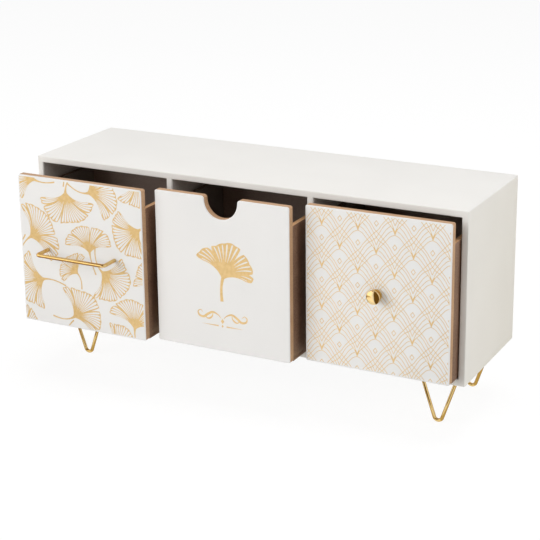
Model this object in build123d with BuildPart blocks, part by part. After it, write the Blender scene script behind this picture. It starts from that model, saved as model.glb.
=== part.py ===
import os
from math import asin, cos, pi, radians, sin, tan

from build123d import *

# A small white chest with three drawers side by side, on four bent wire legs.
# X runs along the chest, Y from front to back and Z up, in millimetres.
# The origin is on the table, under the middle of the object as it stands with
# its three drawers pulled out by different amounts.

# Carcass
carcass_width = 380.0
carcass_depth = 111.0
carcass_height = 137.0
board = 5.5                 # top, bottom, ends and dividers
back_board = 3.0            # let in between the other boards
edge_ease = 0.6             # rounding of the painted outer edges
bay_names = ("left", "middle", "right")

# Drawer boxes
front_board = 6.0
side_board = 4.0
floor_board = 3.0
box_height = 109.0          # floor and side together
front_side_gap = 0.95
front_top_gap = 0.7
running_gap = 0.3           # between a drawer and the board it slides on
rear_gap = 2.0              # behind a closed drawer
front_corner = 1.5          # corners of a drawer front, seen from the front
front_ease = 0.8            # rounding of its painted front edge
pulled_out = {"left": 36.7, "middle": 28.4, "right": 15.9}

# Finger notch of the middle drawer
notch_width = 29.0
notch_depth = 17.2
notch_shoulder = 2.6

# Pulls, each centred this far under the top edge of its front
handle_drop = 60.8
knob_drop = 62.5
hole_clearance = 0.15

# Wire bar handle of the left drawer
handle_wire = 3.0
handle_centres = 64.0
handle_projection = 16.0    # from the front to the middle of the bar
handle_bend = 2.5           # bend radius at the middle of the wire
handle_stud = 4.5           # threaded end that stands out inside the drawer
nut_flats = 5.5
nut_thickness = 2.4
thread_clearance = 0.05

# Turned knob of the right drawer
knob_base_diameter = 9.0
knob_base_thickness = 1.2
knob_neck_diameter = 5.0
knob_cap_diameter = 11.2
knob_cap_rim = 1.2
knob_cap_flare = 1.6        # length of the cone under the cap
knob_dome = 1.7             # height of the domed face
knob_projection = 8.8
knob_bore_depth = 6.0

# Screw that holds the knob from inside the drawer
knob_screw_diameter = 3.0
knob_screw_engaged = 4.5
knob_screw_head_diameter = 5.6
knob_screw_head_height = 2.0
knob_screw_head_round = 1.2

# Legs: one wire bent to a V, welded under a screwed plate
leg_height = 42.0
leg_wire = 2.8
leg_half_angle = 18.7       # degrees between an arm and the vertical
leg_bend = 3.4              # bend radius at the middle of the wire
leg_side_inset = 28.3
leg_front_inset = 21.0
leg_rear_inset = 14.0
plate_length = 48.0
plate_width = 18.0
plate_thickness = 1.5
plate_corner = 3.0

# Countersunk screws of the plates
leg_screw_spacing = 16.0
leg_screw_diameter = 2.8
leg_screw_head_diameter = 5.4
leg_screw_depth = 4.4       # how far a screw reaches into the bottom board
recess_width = 0.7
recess_share = 0.6          # share of a head that its cross recess takes
recess_depth = 0.9

# Places worked out from the sizes above
handle_reach = pulled_out["left"] + handle_projection + handle_wire / 2
front_y = (handle_reach - carcass_depth) / 2
back_y = front_y + carcass_depth
underside = leg_height
floor_level = underside + board
ceiling_level = underside + carcass_height - board
bay_height = ceiling_level - floor_level
bay_width = (carcass_width - (len(bay_names) + 1) * board) / len(bay_names)
bay_pitch = bay_width + board
bay_centre = {
    name: (index - (len(bay_names) - 1) / 2) * bay_pitch
    for index, name in enumerate(bay_names)
}

front_width = bay_width - 2 * front_side_gap
front_height = bay_height - running_gap - front_top_gap
drawer_underside = floor_level + running_gap
front_top = drawer_underside + front_height
drawer_depth = carcass_depth - back_board - rear_gap
box_length = drawer_depth - front_board
wall_height = box_height - floor_board
handle_level = front_top - handle_drop
knob_level = front_top - knob_drop

plate_underside = underside - plate_thickness
leg_places = [
    (end * (carcass_width / 2 - leg_side_inset), y)
    for y in (front_y + leg_front_inset, back_y - leg_rear_inset)
    for end in (-1, 1)
]
leg_names = ("front_left", "front_right", "rear_left", "rear_right")
leg_screw_places = [
    (x + side * leg_screw_spacing / 2, y) for x, y in leg_places for side in (-1, 1)
]


def save(piece, name):
    piece.part.label = name
    export_step(piece.part, f"parts/{name}.step")


def flat_board(width, depth, height, x, y, z):
    """A plain sawn board, centred on x and standing on y and z with its corner."""
    with BuildPart() as piece:
        with BuildSketch(Plane.XY.offset(z)):
            with Locations((x, y + depth / 2)):
                Rectangle(width, depth)
        extrude(amount=height)
    return piece


os.makedirs("parts", exist_ok=True)

# The top and the bottom cover the ends, and their outer edges are rounded.
with BuildPart() as cabinet_top:
    with BuildSketch(Plane.XY.offset(ceiling_level)):
        with Locations((0, front_y + carcass_depth / 2)):
            Rectangle(carcass_width, carcass_depth)
    extrude(amount=board)
    fillet(cabinet_top.edges().filter_by(Axis.Z), edge_ease)
    fillet(cabinet_top.faces().sort_by(Axis.Z)[-1].edges(), edge_ease)
save(cabinet_top, "cabinet_top")

with BuildPart() as cabinet_bottom:
    with BuildSketch(Plane.XY.offset(underside)):
        with Locations((0, front_y + carcass_depth / 2)):
            Rectangle(carcass_width, carcass_depth)
    extrude(amount=board)
    fillet(cabinet_bottom.edges().filter_by(Axis.Z), edge_ease)
    fillet(cabinet_bottom.faces().sort_by(Axis.Z)[0].edges(), edge_ease)
    with BuildSketch(Plane.XY.offset(underside)):
        with Locations(*leg_screw_places):
            Circle(leg_screw_diameter / 2 + thread_clearance)
    extrude(amount=leg_screw_depth + thread_clearance, mode=Mode.SUBTRACT)
save(cabinet_bottom, "cabinet_bottom")

for name, end in (("left", -1), ("right", 1)):
    with BuildPart() as cabinet_end:
        with BuildSketch(Plane.XY.offset(floor_level)):
            with Locations((end * (carcass_width - board) / 2, front_y + carcass_depth / 2)):
                Rectangle(board, carcass_depth)
        extrude(amount=bay_height)
        outer_edges = cabinet_end.edges().filter_by(Axis.Z).sort_by(Axis.X, reverse=end > 0)[:2]
        fillet(outer_edges, edge_ease)
    save(cabinet_end, f"cabinet_{name}_end")

for name, side in (("left", -1), ("right", 1)):
    divider = flat_board(
        board, carcass_depth - back_board, bay_height, side * bay_pitch / 2, front_y, floor_level
    )
    save(divider, f"cabinet_{name}_divider")

cabinet_back = flat_board(
    carcass_width - 2 * board, back_board, bay_height, 0, back_y - back_board, floor_level
)
save(cabinet_back, "cabinet_back")


# The wire of a leg stands with its bend on the table. Its two arms run on past
# the plate and are cut off flush with it.
def bent_leg(x, y):
    half_angle = radians(leg_half_angle)
    bend_to_corner = leg_bend * (1 / sin(half_angle) - 1)
    corner_level = leg_wire / 2 - bend_to_corner
    arm_top = plate_underside + leg_wire
    arm_spread = (arm_top - corner_level) * tan(half_angle)
    with BuildPart() as leg:
        with BuildLine(Plane.XZ.offset(-y)) as route:
            FilletPolyline(
                (x - arm_spread, arm_top),
                (x, corner_level),
                (x + arm_spread, arm_top),
                radius=leg_bend,
            )
        with BuildSketch(Plane(origin=route.line @ 0, z_dir=route.line % 0)):
            Circle(leg_wire / 2)
        sweep(path=route.line)
        split(bisect_by=Plane.XY.offset(plate_underside), keep=Keep.BOTTOM)
    return leg


def leg_plate(x, y):
    with BuildPart() as plate:
        with BuildSketch(Plane.XY.offset(plate_underside)):
            with Locations((x, y)):
                RectangleRounded(plate_length, plate_width, plate_corner)
        extrude(amount=plate_thickness)
        holes = [
            Location((x + side * leg_screw_spacing / 2, y, plate_underside), (180, 0, 0))
            for side in (-1, 1)
        ]
        with Locations(*holes):
            CounterSinkHole(
                leg_screw_diameter / 2 + thread_clearance,
                leg_screw_head_diameter / 2 + thread_clearance,
                counter_sink_angle=90,
            )
    return plate


for name, place in zip(leg_names, leg_places):
    save(bent_leg(*place), f"leg_wire_{name}")
    save(leg_plate(*place), f"leg_plate_{name}")

# A countersunk screw, head down, with a cross recess and a pointed end.
head_radius = leg_screw_head_diameter / 2
shank_radius = leg_screw_diameter / 2
screw_length = plate_thickness + leg_screw_depth
with BuildPart() as leg_screw:
    with BuildSketch(Plane.XZ):
        with BuildLine():
            Polyline(
                (0, 0),
                (head_radius, 0),
                (shank_radius, head_radius - shank_radius),
                (shank_radius, screw_length - shank_radius),
                (0, screw_length),
                close=True,
            )
        make_face()
    revolve(axis=Axis.Z)
    with BuildSketch(Plane.XY):
        Rectangle(leg_screw_head_diameter * recess_share, recess_width)
        Rectangle(recess_width, leg_screw_head_diameter * recess_share)
    extrude(amount=recess_depth, mode=Mode.SUBTRACT)

with BuildPart() as leg_screws:
    with Locations(*[(x, y, plate_underside) for x, y in leg_screw_places]):
        add(leg_screw.part)
save(leg_screws, "leg_screws")


# A drawer front is a rounded rectangle with its painted face edge eased. It may
# have a finger notch in its top edge, or holes for a pull.
def drawer_front(x, face_y, notched=False, hole_places=(), hole_diameter=0.0):
    with BuildPart() as front:
        with BuildSketch(Plane.XZ.offset(-face_y)) as outline:
            with Locations((x, drawer_underside + front_height / 2)):
                Rectangle(front_width, front_height)
            fillet(outline.vertices(), front_corner)
            if notched:
                notch_radius = notch_width / 2
                straight = notch_depth - notch_radius
                with Locations((x, front_top - straight)):
                    Circle(notch_radius, mode=Mode.SUBTRACT)
                with Locations((x, front_top - straight / 2)):
                    Rectangle(notch_width, straight, mode=Mode.SUBTRACT)
                shoulders = outline.vertices().sort_by_distance((x, front_top))[:2]
                fillet(shoulders, notch_shoulder)
            if hole_places:
                with Locations(*hole_places):
                    Circle(hole_diameter / 2, mode=Mode.SUBTRACT)
        extrude(amount=-front_board)
        painted_face = front.faces().sort_by(Axis.Y)[0]
        fillet(painted_face.outer_wire().edges(), front_ease)
    return front


pull_holes = {
    "left": [
        (bay_centre["left"] + side * handle_centres / 2, handle_level) for side in (-1, 1)
    ],
    "middle": [],
    "right": [(bay_centre["right"], knob_level)],
}
pull_hole_diameter = {
    "left": handle_wire + 2 * hole_clearance,
    "middle": 0.0,
    "right": knob_screw_diameter + 2 * hole_clearance,
}

for name in bay_names:
    x = bay_centre[name]
    face_y = front_y - pulled_out[name]
    box_y = face_y + front_board
    save(
        drawer_front(x, face_y, name == "middle", pull_holes[name], pull_hole_diameter[name]),
        f"{name}_drawer_front",
    )
    drawer_floor = flat_board(front_width, box_length, floor_board, x, box_y, drawer_underside)
    save(drawer_floor, f"{name}_drawer_floor")
    wall_level = drawer_underside + floor_board
    for hand, side in (("left", -1), ("right", 1)):
        wall_x = x + side * (front_width - side_board) / 2
        wall = flat_board(side_board, box_length, wall_height, wall_x, box_y, wall_level)
        save(wall, f"{name}_drawer_{hand}_side")
    rear = flat_board(
        front_width - 2 * side_board,
        side_board,
        wall_height,
        x,
        box_y + box_length - side_board,
        wall_level,
    )
    save(rear, f"{name}_drawer_back")

# The bar handle is one wire with two tight bends. Its threaded ends pass
# through the front and are held by a nut each.
handle_face = front_y - pulled_out["left"]
handle_x = bay_centre["left"]
stud_end = handle_face + front_board + handle_stud
bar_y = handle_face - handle_projection
with BuildPart() as bar_handle:
    with BuildLine(Plane.XY.offset(handle_level)) as handle_route:
        FilletPolyline(
            (handle_x - handle_centres / 2, stud_end),
            (handle_x - handle_centres / 2, bar_y),
            (handle_x + handle_centres / 2, bar_y),
            (handle_x + handle_centres / 2, stud_end),
            radius=handle_bend,
        )
    with BuildSketch(Plane(origin=handle_route.line @ 0, z_dir=handle_route.line % 0)):
        Circle(handle_wire / 2)
    sweep(path=handle_route.line)
save(bar_handle, "bar_handle")

nut_corner_radius = nut_flats / 2 / sin(pi / 3)
with BuildPart() as handle_nuts:
    with BuildSketch(Plane.XZ.offset(-(handle_face + front_board))):
        with Locations(*pull_holes["left"]):
            RegularPolygon(nut_corner_radius, 6)
            Circle(handle_wire / 2 + thread_clearance, mode=Mode.SUBTRACT)
    extrude(amount=-nut_thickness)
save(handle_nuts, "handle_nuts")

# The knob is turned: a base against the front, a neck and a flared cap with a
# shallow dome. Its profile is drawn from the axis outwards, and from the front
# of the drawer towards the user.
knob_face = front_y - pulled_out["right"]
knob_centre = (bay_centre["right"], knob_face, knob_level)
knob_plane = Plane(origin=knob_centre, x_dir=(1, 0, 0), z_dir=(0, 0, -1))
knob_axis = Axis(knob_centre, (0, -1, 0))
outward = Plane(origin=knob_centre, x_dir=(1, 0, 0), z_dir=(0, -1, 0))
cap_radius = knob_cap_diameter / 2
rim_level = knob_projection - knob_dome
dome_radius = (cap_radius**2 + knob_dome**2) / (2 * knob_dome)
half_dome = asin(cap_radius / dome_radius) / 2
dome_centre = knob_projection - dome_radius
with BuildPart() as knob:
    with BuildSketch(knob_plane):
        with BuildLine():
            Polyline(
                (0, knob_projection),
                (0, 0),
                (knob_base_diameter / 2, 0),
                (knob_base_diameter / 2, knob_base_thickness),
                (knob_neck_diameter / 2, knob_base_thickness),
                (knob_neck_diameter / 2, rim_level - knob_cap_rim - knob_cap_flare),
                (cap_radius, rim_level - knob_cap_rim),
                (cap_radius, rim_level),
            )
            ThreePointArc(
                (cap_radius, rim_level),
                (dome_radius * sin(half_dome), dome_centre + dome_radius * cos(half_dome)),
                (0, knob_projection),
            )
        make_face()
    revolve(axis=knob_axis)
    with BuildSketch(outward):
        Circle(knob_screw_diameter / 2 + thread_clearance)
    extrude(amount=knob_bore_depth, mode=Mode.SUBTRACT)
save(knob, "knob")

# Its screw comes from inside the drawer, with a rounded head on the front's back.
with BuildPart() as knob_screw:
    with BuildSketch(outward.offset(-front_board)):
        Circle(knob_screw_diameter / 2)
    extrude(amount=front_board + knob_screw_engaged)
    with BuildSketch(outward.offset(-front_board)):
        Circle(knob_screw_head_diameter / 2)
    extrude(amount=-knob_screw_head_height)
    head_face = knob_screw.faces().sort_by(Axis.Y)[-1]
    fillet(head_face.edges(), knob_screw_head_round)
    with BuildSketch(outward.offset(-front_board - knob_screw_head_height)):
        Rectangle(knob_screw_head_diameter * recess_share, recess_width)
        Rectangle(recess_width, knob_screw_head_diameter * recess_share)
    extrude(amount=recess_depth, mode=Mode.SUBTRACT)
save(knob_screw, "knob_screw")
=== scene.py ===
# %% [markdown]
# # A small white chest with three drawers
#
# The chest is a glued fibreboard box on four bent wire legs. Its three drawers stand
# pulled out by different amounts: one has a wire handle, one a finger notch and one a
# turned knob. The construction model is loaded first and fixes every size and place.
# Each piece that shows is then modelled again, with the fine edges that paint, saw and
# lathe leave, and dressed in the finish of the real thing.

# %% Load the frame
import random
from math import cos, exp, pi, radians, sin, sqrt, tan

import bmesh
import bpy
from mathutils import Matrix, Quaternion, Vector
from mathutils.geometry import delaunay_2d_cdt


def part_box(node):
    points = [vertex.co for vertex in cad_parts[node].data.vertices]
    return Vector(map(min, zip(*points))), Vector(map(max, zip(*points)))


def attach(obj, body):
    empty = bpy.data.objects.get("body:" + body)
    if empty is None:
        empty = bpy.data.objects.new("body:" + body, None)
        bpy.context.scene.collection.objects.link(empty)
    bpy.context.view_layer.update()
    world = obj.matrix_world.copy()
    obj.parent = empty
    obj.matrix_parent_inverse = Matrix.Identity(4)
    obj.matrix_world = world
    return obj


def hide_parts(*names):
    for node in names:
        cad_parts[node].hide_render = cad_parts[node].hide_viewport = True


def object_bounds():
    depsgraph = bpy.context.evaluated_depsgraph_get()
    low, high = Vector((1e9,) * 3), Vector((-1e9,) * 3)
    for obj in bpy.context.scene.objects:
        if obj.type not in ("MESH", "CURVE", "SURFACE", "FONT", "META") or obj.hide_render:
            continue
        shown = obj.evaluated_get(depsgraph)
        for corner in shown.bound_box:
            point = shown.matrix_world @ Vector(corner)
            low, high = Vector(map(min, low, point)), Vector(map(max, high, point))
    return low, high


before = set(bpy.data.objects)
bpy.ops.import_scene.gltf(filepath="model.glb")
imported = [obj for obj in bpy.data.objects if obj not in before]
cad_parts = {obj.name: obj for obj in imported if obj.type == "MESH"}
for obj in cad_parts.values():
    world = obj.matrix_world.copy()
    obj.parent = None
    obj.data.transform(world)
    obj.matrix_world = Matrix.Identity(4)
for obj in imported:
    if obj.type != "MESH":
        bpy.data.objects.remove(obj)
cad_low, cad_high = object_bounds()
MM = 0.001
print("pieces in the frame:", len(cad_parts))

# %% [markdown]
# ## The camera
#
# A long lens, a little above the top of the chest and well round to its right, sees
# the fronts, the top and the right end. The numbers were found by fitting a camera to
# the corners of the chest. The upright edges of the chest stay nearly parallel in the
# picture, which a lens does when it is shifted, so this one is shifted too.

# %% Camera
IMAGE_SIDE = 540
azimuth = radians(27.56)
elevation = radians(15.9)
roll = radians(-0.64)
aim = Vector((0.0134, 0, 0.1664))
distance = 1.1796
focal_pixels = 1490.3
principal_row = 190

back = Vector((
    sin(azimuth) * cos(elevation),
    -cos(azimuth) * cos(elevation),
    sin(elevation),
))
bpy.ops.object.camera_add(location=aim + back * distance)
camera = bpy.context.object
camera.rotation_mode = "QUATERNION"
camera.rotation_quaternion = (-back).to_track_quat("-Z", "Y") @ Quaternion((0, 0, 1), roll)
camera.data.sensor_width = 36
camera.data.lens = focal_pixels / IMAGE_SIDE * camera.data.sensor_width
camera.data.shift_y = principal_row / IMAGE_SIDE - 0.5
camera.data.dof.use_dof = False
camera.data.clip_start = 0.05
camera.data.clip_end = 50
bpy.context.scene.camera = camera
print("lens", round(camera.data.lens, 1), "mm, shift", round(camera.data.shift_y, 3))

# %% [markdown]
# ## Helpers for every finish
#
# Colours are written as the six-figure sRGB values that a designer reads off a paint
# card, while the shader wants linear light, so one function turns one into the other.
# The second adds a node, sets its values and the stops of a colour ramp, and links its
# inputs, all in one call. The third starts an empty material.

# %% Colour and node helpers
def colour(hex_text):
    channels = [int(hex_text[i:i + 2], 16) / 255 for i in (1, 3, 5)]
    linear = [c / 12.92 if c <= 0.04045 else ((c + 0.055) / 1.055) ** 2.4 for c in channels]
    return (*linear, 1.0)


def add_node(tree, kind, inputs=None, stops=(), **settings):
    node = tree.nodes.new(kind)
    for name, value in settings.items():
        setattr(node, name, value)
    for index, (position, hex_text) in enumerate(stops):
        node.color_ramp.elements[index].position = position
        node.color_ramp.elements[index].color = colour(hex_text)
    for name, value in (inputs or {}).items():
        if isinstance(value, bpy.types.NodeSocket):
            tree.links.new(value, node.inputs[name])
        else:
            node.inputs[name].default_value = value
    return node


def new_material(name):
    material = bpy.data.materials.new(name)
    material.use_nodes = True
    material.node_tree.nodes.clear()
    return material, material.node_tree


print("white paint in linear light:", [round(c, 3) for c in colour("#EFEDE9")])

# %% [markdown]
# ## Floor, world and lamps
#
# The chest stands on a white sweep under soft light. The floor is a plain plate of matt
# paper, which has no shine and shows nothing but a shadow. To the camera, and to what
# mirrors it, it glows near white and keeps that shadow faintly, while to all other light
# it is ordinary paper. The world does the same: white to look at, dim as a light.

# %% Floor and world
FLOOR_SIDE = 14.0
PAPER = "#E6E5E2"
GLOW = 0.90
SHADOW_SHARE = 0.13
AMBIENT = 0.28


def looked_at(tree):
    """1 for what the camera, a mirror or glass shows, and 0 for all other light."""
    path = add_node(tree, "ShaderNodeLightPath")
    seen = path.outputs["Is Camera Ray"]
    for ray in ("Is Glossy Ray", "Is Transmission Ray"):
        seen = add_node(tree, "ShaderNodeMath", {
            0: seen, 1: path.outputs[ray]}, operation="MAXIMUM").outputs[0]
    return seen


bpy.ops.object.select_all(action="DESELECT")
bpy.ops.mesh.primitive_plane_add(size=FLOOR_SIDE)
floor = bpy.context.object
floor.name = "floor"

paper, tree = new_material("matt_white_paper")
plain = add_node(tree, "ShaderNodeBsdfDiffuse", {"Color": colour(PAPER)})
glow = add_node(tree, "ShaderNodeEmission", {"Color": (1, 1, 1, 1), "Strength": GLOW})
faint = add_node(tree, "ShaderNodeBsdfDiffuse", {
    "Color": (SHADOW_SHARE, SHADOW_SHARE, SHADOW_SHARE, 1)})
glowing = add_node(tree, "ShaderNodeAddShader", {
    0: glow.outputs[0], 1: faint.outputs[0]})
mixed = add_node(tree, "ShaderNodeMixShader", {
    "Fac": looked_at(tree), 1: plain.outputs[0], 2: glowing.outputs[0]})
add_node(tree, "ShaderNodeOutputMaterial", {"Surface": mixed.outputs[0]})
floor.data.materials.append(paper)

world = bpy.data.worlds.new("white_studio")
world.use_nodes = True
bpy.context.scene.world = world
tree = world.node_tree
tree.nodes.clear()
strength = add_node(tree, "ShaderNodeMapRange", {
    "Value": looked_at(tree), "To Min": AMBIENT, "To Max": 1.0})
sky = add_node(tree, "ShaderNodeBackground", {
    "Color": (1, 1, 1, 1), "Strength": strength.outputs[0]})
add_node(tree, "ShaderNodeOutputWorld", {"Surface": sky.outputs[0]})

bpy.context.scene.view_settings.view_transform = "Standard"
print("floor and world made")

# %% [markdown]
# Three soft lamps light the chest. The knob's shadow falls to its right and hardly
# down, so the key lamp stands low at the left. A weaker one hangs over the top and
# another lights the right end. Each is large, which keeps the shadows soft. Mirrors
# don't see the lamps, because they see the cards that come next.

# %% Lamps
CHEST_MIDDLE = (cad_low + cad_high) / 2


def soft_lamp(name, place, width, height, power):
    bpy.ops.object.light_add(type="AREA", location=CHEST_MIDDLE + place)
    lamp = bpy.context.object
    lamp.name = name
    lamp.data.shape = "RECTANGLE"
    lamp.data.size = width
    lamp.data.size_y = height
    lamp.data.energy = power
    lamp.rotation_mode = "QUATERNION"
    lamp.rotation_quaternion = (-place).to_track_quat("-Z", "Y")
    lamp.visible_glossy = False
    print(name, power, "W")


soft_lamp("key_lamp", Vector((-2.7, -3.2, 1.45)), width=3.6, height=2.6, power=132.5)
soft_lamp("top_lamp", Vector((0.05, 0.3, 1.6)), width=1.2, height=1.2, power=13.3)
soft_lamp("end_lamp", Vector((1.2, -0.12, 0.4)), width=0.9, height=0.9, power=5.3)

# %% [markdown]
# Polished metal is mostly a picture of the room. The brass on the chest shows pale gold
# beside deep brown, because the real room was bright on one side and dark on the other.
# Ten glowing cards stand in for that room, and only mirrors see them: bright ones at the
# front left, dark ones at the front right and above, and on the floor a tan one where the
# shade of the chest would lie, a gold one before the left drawer and a brown one before
# each front leg, which is the chest's shade on the floor painted for the mirrors.

# %% Cards for the mirrors
TAN = "#CDBE94"
WARM_WHITE = "#FFF6E6"
DARK_BROWN = "#6A5122"
BROWN = "#86602F"
GOLD = "#F3D9A0"


def card(name, glow_hex, strength, corners):
    material, tree = new_material(name)
    shine = add_node(tree, "ShaderNodeEmission", {
        "Color": colour(glow_hex), "Strength": strength})
    add_node(tree, "ShaderNodeOutputMaterial", {"Surface": shine.outputs[0]})
    bpy.ops.object.select_all(action="DESELECT")
    bpy.ops.mesh.primitive_plane_add(size=1)
    sheet = bpy.context.object
    sheet.name = name
    loop = sheet.data.polygons[0].vertices
    for vertex, corner in zip(loop, corners):
        sheet.data.vertices[vertex].co = corner
    sheet.visible_camera = False
    sheet.visible_diffuse = False
    sheet.visible_shadow = False
    sheet.visible_transmission = False
    sheet.data.materials.append(material)


def lying(level, *spots):
    return [(x, y, level) for x, y in spots]


def standing(foot, head, left, right):
    return [(*left, foot), (*right, foot), (*right, head), (*left, head)]


CEILING = 1.8
BRIGHT_TOP = 1.1
BRIGHT_LINE = ((-1.45, -0.44), (-0.51, -1.46))
card("shade_card", TAN, 1.0, lying(
    0.002, (-0.2, -0.02), (0.2, -0.02), (1.2, 0.5), (0.3, 1.1)))
card("bright_floor_card", WARM_WHITE, 1.25, lying(
    0.004, *BRIGHT_LINE, (0.12, -0.12), (-0.45, -0.12)))
card("bright_card", WARM_WHITE, 1.5, standing(0.004, BRIGHT_TOP, *BRIGHT_LINE))
card("brown_card", BROWN, 1.0, standing(BRIGHT_TOP, CEILING, *BRIGHT_LINE))
card("dark_floor_card", DARK_BROWN, 1.0, lying(
    0.006, (-0.02, -1.3), (1.0, -1.3), (0.75, -0.2), (0.125, -0.07)))
card("gold_floor_card", GOLD, 0.75, lying(
    0.005, (-0.6, -0.65), (-0.2, -0.65), (-0.17, -0.15), (-0.6, -0.15)))
# Before each front leg, the chest's shade on the floor is painted as a brown card for the
# mirrors.
card("left_leg_painted_shade_card", BROWN, 1.0, lying(
    0.007, (-0.3, -0.16), (-0.14, -0.16), (-0.14, -0.03), (-0.3, -0.03)))
card("right_leg_painted_shade_card", DARK_BROWN, 1.0, lying(
    0.007, (0.125, -0.13), (0.2, -0.13), (0.165, -0.03), (0.13, -0.03)))
card("dark_card", DARK_BROWN, 1.0, (
    (-0.02, -1.3, 0.006), (1.3, -1.3, 0.006), (1.3, -1.3, 1.2), (-0.2, -1.3, 1.2)))
card("ceiling_card", BROWN, 1.0, lying(
    CEILING, (-1.2, -1.5), (1.2, -1.5), (1.2, 1.2), (-1.2, 1.2)))
print("cards stand round the chest")

# %% [markdown]
# ## Finishes
#
# The outside of the chest and the faces of the drawers are sprayed with satin white
# paint. The board under it is fibreboard: a smooth brown skin on its two faces and a
# paler, coarser edge where the saw went. The wire is steel with a polished brass plating.
# Every pattern follows the object and has a real size in millimetres. The colours were
# matched to the photograph under the lamps above.

# %% White paint
# Noise seldom leaves this range, so a colour ramp over it shows both of its tones.
NOISE_RANGE = (0.3, 0.7)


def object_noise(tree, grain_mm, detail=3.0, stretch=(1, 1, 1)):
    place = add_node(tree, "ShaderNodeTexCoord")
    spread = add_node(tree, "ShaderNodeMapping", {
        "Vector": place.outputs["Object"], "Scale": stretch})
    return add_node(tree, "ShaderNodeTexNoise", {
        "Vector": spread.outputs["Vector"],
        "Scale": 1 / (grain_mm * MM),
        "Detail": detail,
    }).outputs["Fac"]


def satin_paint(name, dark_hex, light_hex, roughness, specular):
    material, tree = new_material(name)
    peel = object_noise(tree, 1.4)
    relief = add_node(tree, "ShaderNodeBump", {
        "Height": peel, "Distance": 0.006 * MM})
    tones = add_node(
        tree, "ShaderNodeValToRGB", {"Fac": object_noise(tree, 60, 1.0)},
        zip(NOISE_RANGE, (dark_hex, light_hex)))
    gloss = add_node(tree, "ShaderNodeMapRange", {
        "Value": object_noise(tree, 9),
        "To Min": roughness - 0.03, "To Max": roughness + 0.05})
    shader = add_node(tree, "ShaderNodeBsdfPrincipled", {
        "Base Color": tones.outputs["Color"],
        "Roughness": gloss.outputs["Result"],
        "IOR": 1.5,
        "Specular IOR Level": specular,
        "Normal": relief.outputs["Normal"],
    })
    add_node(tree, "ShaderNodeOutputMaterial", {"Surface": shader.outputs[0]})
    return material


# Sprayed paint hides the fibres and gives the eye a soft, broad sheen with a trace of
# orange peel. The lacquer on the fronts is a shade cooler and shines a little less.
cabinet_paint = satin_paint("satin_white_spray_paint", "#EAE8E4", "#EDEBE7", 0.42, 0.5)
front_paint = satin_paint("satin_white_spray_lacquer", "#E9E8E7", "#EBEAE9", 0.40, 0.3)
print("paints:", cabinet_paint.name, front_paint.name)

# %% Fibreboard, skin and sawn edge
# Two noises mixed keep to a narrower range.
MOTTLE_RANGE = (0.36, 0.64)


def fibreboard(name, dark_hex, light_hex, grain_mm, roughness, relief_mm, specular):
    material, tree = new_material(name)
    fibre = object_noise(tree, grain_mm, 6.0, (1, 1, 1.6))
    cloud = object_noise(tree, 22, 2.0)
    mottle = add_node(tree, "ShaderNodeMix", {
        "Factor": 0.35, "A": fibre, "B": cloud}, data_type="FLOAT")
    tones = add_node(
        tree, "ShaderNodeValToRGB", {"Fac": mottle.outputs[0]},
        zip(MOTTLE_RANGE, (dark_hex, light_hex)))
    relief = add_node(tree, "ShaderNodeBump", {
        "Height": fibre, "Distance": relief_mm * MM})
    shader = add_node(tree, "ShaderNodeBsdfPrincipled", {
        "Base Color": tones.outputs["Color"],
        "Roughness": roughness,
        "Specular IOR Level": specular,
        "Normal": relief.outputs["Normal"],
    })
    add_node(tree, "ShaderNodeOutputMaterial", {"Surface": shader.outputs[0]})
    return material


# A hot press leaves the skin smooth and brown, with a dull gloss and a fine mottle.
board_skin = fibreboard("pressed_fibreboard_skin", "#6F5241", "#8B6D58", 1.6, 0.45, 0.03, 0.5)
# The saw tears the fibres open, so its edges are paler, matt and rougher to the eye.
board_edge = fibreboard("sawn_fibreboard_edge", "#B98B60", "#D9AE84", 0.7, 0.62, 0.06, 0.4)
front_edge = fibreboard("sawn_edge_of_front_board", "#B08A68", "#CBA683", 0.7, 0.6, 0.06, 0.4)
# The walls of the bays get a pale, dull grey copy of the skin, toned so that their
# shade renders as a neutral dark: a painted shade tone. The lamps make them light in
# front and dark further in.
bay_wall_toned_for_shade = fibreboard("fibreboard_bay_wall_toned_for_shade", "#D0CCC7", "#DEDAD5", 2.0, 0.5, 0.03, 0.5)
# Inside, the drawers get greyer copies of the skin than outside: a painted shade tone
# that keeps their depth a neutral dark.
back_skin_toned_for_shade = fibreboard("pressed_skin_of_back_toned_for_shade", "#9C8A82", "#AC9A92", 1.6, 0.45, 0.03, 0.5)
inner_skin_toned_for_shade = fibreboard("pressed_skin_inside_toned_for_shade", "#8B8782", "#9B9792", 1.6, 0.45, 0.03, 0.5)
for board in (board_skin, board_edge, front_edge, bay_wall_toned_for_shade, back_skin_toned_for_shade, inner_skin_toned_for_shade):
    print("board:", board.name)

# %% Brass and zinc
def plated(name, dark_hex, light_hex, edge_hex, roughness, spread):
    material, tree = new_material(name)
    patch = object_noise(tree, 3.5)
    tones = add_node(
        tree, "ShaderNodeValToRGB", {"Fac": patch}, zip(NOISE_RANGE, (dark_hex, light_hex)))
    gloss = add_node(tree, "ShaderNodeMapRange", {
        "Value": patch, "To Min": roughness - spread, "To Max": roughness + spread})
    relief = add_node(tree, "ShaderNodeBump", {
        "Height": object_noise(tree, 0.5, 2.0), "Distance": 0.002 * MM})
    shader = add_node(tree, "ShaderNodeBsdfPrincipled", {
        "Base Color": tones.outputs["Color"],
        "Metallic": 1.0,
        "Specular Tint": colour(edge_hex),
        "Roughness": gloss.outputs["Result"],
        "Normal": relief.outputs["Normal"],
    })
    add_node(tree, "ShaderNodeOutputMaterial", {"Surface": shader.outputs[0]})
    return material


# Polished plating is a yellow mirror that turns brown where it curves out of sight.
wire_brass = plated("polished_brass_plating", "#DEC081", "#E8CC8F", "#C08E4C", 0.1, 0.02)
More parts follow.
